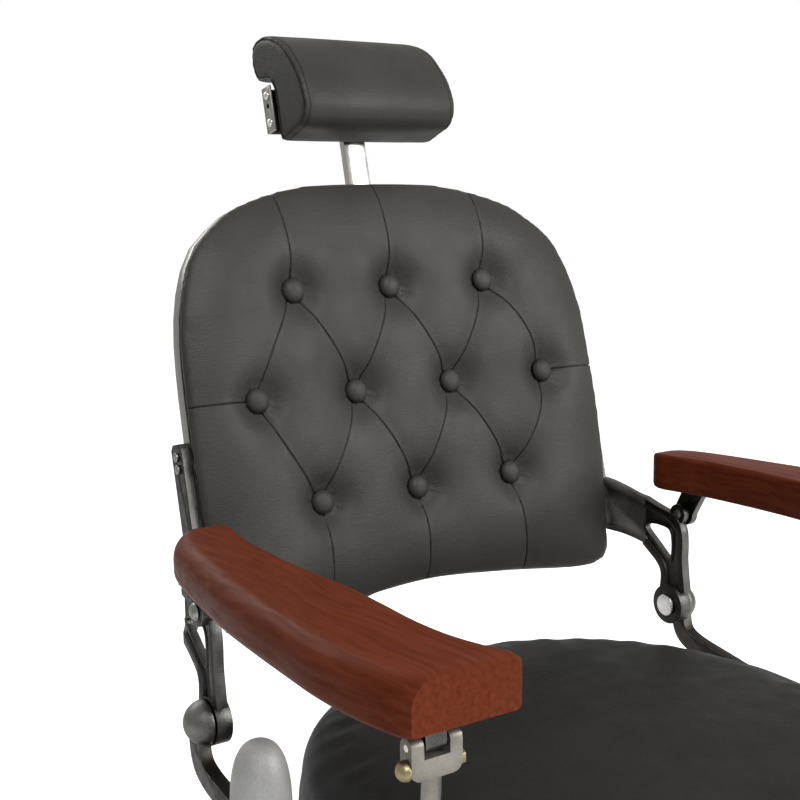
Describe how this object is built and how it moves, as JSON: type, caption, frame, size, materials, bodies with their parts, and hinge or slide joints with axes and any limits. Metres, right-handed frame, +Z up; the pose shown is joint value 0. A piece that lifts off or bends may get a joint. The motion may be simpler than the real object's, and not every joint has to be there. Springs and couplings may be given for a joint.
{
  "type": "barber chair",
  "caption": "Reclining barber chair: tufted back with headrest, round seat, wooden armrests and footrest linked to the back, on a hydraulic swivel column and round base.",
  "frame": {"origin": "on the floor, on the axis of the column", "axes": "+Z up; the sitter faces -Y; +X is the sitter's left"},
  "size_m": [0.7203, 1.0425, 1.1691],
  "materials": {
    "black_iron": "satin black enamel on cast iron",
    "plate_steel": "black painted sheet steel",
    "chrome": "bright polished plate",
    "bright_steel": "turned and polished steel",
    "bronze": "plain bearing bronze",
    "brass": "dull brass",
    "pewter_iron": "dark pewter grey, finely hammered",
    "satin_alloy": "satin cast alloy",
    "satin_steel": "brushed bright steel",
    "shell_metal": "pewter grey enamel",
    "plywood": "bare birch plywood",
    "leather": "black, fine grain, soft sheen",
    "mahogany": "red brown mahogany under satin lacquer",
    "rubber": "ribbed black rubber",
    "knob_plastic": "black moulded plastic"
  },
  "bodies": {
    "base": {"base_plate": "plate_steel", "base_casting": "black_iron", "base_trim": "chrome", "base_bolts": "chrome", "pump_body": "black_iron", "pump_gland": "chrome", "pedal_pin": "bright_steel"},
    "pedal": {"pump_pedal": "black_iron", "pedal_rubber": "rubber"},
    "lift": {"ram": "bright_steel", "column_cover": "chrome", "thrust_washer": "bronze"},
    "seat": {"seat_spider": "black_iron", "seat_pan": "plate_steel", "seat_cushion": "leather", "side_frame_left": "pewter_iron", "side_frame_right": "pewter_iron", "frame_bolts": "bright_steel", "recline_pins": "bright_steel", "recline_washers": "bronze", "front_pins": "bright_steel", "lever_pin": "bright_steel"},
    "lever": {"recline_lever": "satin_alloy"},
    "back": {"bracket_left": "pewter_iron", "bracket_right": "pewter_iron", "bracket_screws": "bright_steel", "back_shell": "shell_metal", "back_board": "plywood", "back_cushion": "leather", "back_buttons": "leather", "post_guide": "satin_steel", "arm_screws": "bright_steel"},
    "headrest_post": {"headrest_post": "satin_steel"},
    "headrest": {"headrest_plate": "satin_steel", "headrest_pin": "bright_steel", "headrest_screws": "bright_steel", "headrest_pillow": "leather"},
    "headrest_knob": {"headrest_knob": "knob_plastic"},
    "armrest_left": {"armrest_left": "mahogany", "arm_lug_left": "pewter_iron", "arm_tongue_left": "pewter_iron"},
    "armrest_right": {"armrest_right": "mahogany", "arm_lug_right": "pewter_iron", "arm_tongue_right": "pewter_iron"},
    "leg_frame": {"leg_frame_left": "satin_alloy", "leg_frame_right": "satin_alloy", "fork_bolts": "brass", "fork_pins": "bright_steel", "cross_tubes": "satin_steel", "calf_board": "plate_steel", "calf_pad": "leather"},
    "footplate": {"footplate": "satin_alloy"}
  },
  "joints": [
    {"name": "lift", "type": "slide", "parent": "base", "child": "lift", "axis": [0, 0, 1], "range_m": [0, 0.15]},
    {"name": "swivel", "type": "hinge", "parent": "lift", "child": "seat", "pos_m": [0, 0, 0.4], "axis": [0, 0, 1], "continuous": true},
    {"name": "pedal", "type": "hinge", "parent": "base", "child": "pedal", "pos_m": [0, 0.076, 0.11], "axis": [-1, 0, 0], "range_deg": [0, 12], "stiffness_Nm_per_rad": 12, "springref_deg": -17.19},
    {"name": "recline", "type": "hinge", "parent": "seat", "child": "back", "pos_m": [0, 0.1865, 0.535], "axis": [-1, 0, 0], "range_deg": [0, 45]},
    {"name": "armrest_left_pivot", "type": "hinge", "parent": "back", "child": "armrest_left", "pos_m": [0.3, 0.18058, 0.64084], "axis": [-1, 0, 0], "range_deg": [-45, 0]},
    {"name": "armrest_right_pivot", "type": "hinge", "parent": "back", "child": "armrest_right", "pos_m": [-0.3, 0.18058, 0.64084], "axis": [-1, 0, 0], "range_deg": [-45, 0]},
    {"name": "leg_frame_pivot", "type": "hinge", "parent": "seat", "child": "leg_frame", "pos_m": [0, -0.1935, 0.5535], "axis": [-1, 0, 0], "range_deg": [0, 45]},
    {"name": "footplate_fold", "type": "hinge", "parent": "leg_frame", "child": "footplate", "pos_m": [0, -0.3745, 0.1605], "axis": [-1, 0, 0], "range_deg": [0, 60]},
    {"name": "recline_lever", "type": "hinge", "parent": "seat", "child": "lever", "pos_m": [-0.3145, -0.06, 0.47137], "axis": [1, 0, 0], "range_deg": [0, 15], "stiffness_Nm_per_rad": 6, "springref_deg": -20.05},
    {"name": "headrest_slide", "type": "slide", "parent": "back", "child": "headrest_post", "axis": [0, 0.2317, 0.9728], "range_m": [-0.045, 0.06]},
    {"name": "headrest_tilt", "type": "hinge", "parent": "headrest_post", "child": "headrest", "pos_m": [0, 0.40669, 1.09465], "axis": [-1, 0, 0], "range_deg": [-4, 25]},
    {"name": "headrest_knob", "type": "hinge", "parent": "back", "child": "headrest_knob", "pos_m": [0, 0.3973, 0.94952], "axis": [0, 0.9728, -0.2317], "range_deg": [-180, 180]}
  ],
  "couplings": [
    {"joint": "armrest_left_pivot", "follows": "recline", "ratio": -1},
    {"joint": "armrest_right_pivot", "follows": "recline", "ratio": -1},
    {"joint": "leg_frame_pivot", "follows": "recline", "ratio": 1}
  ]
}
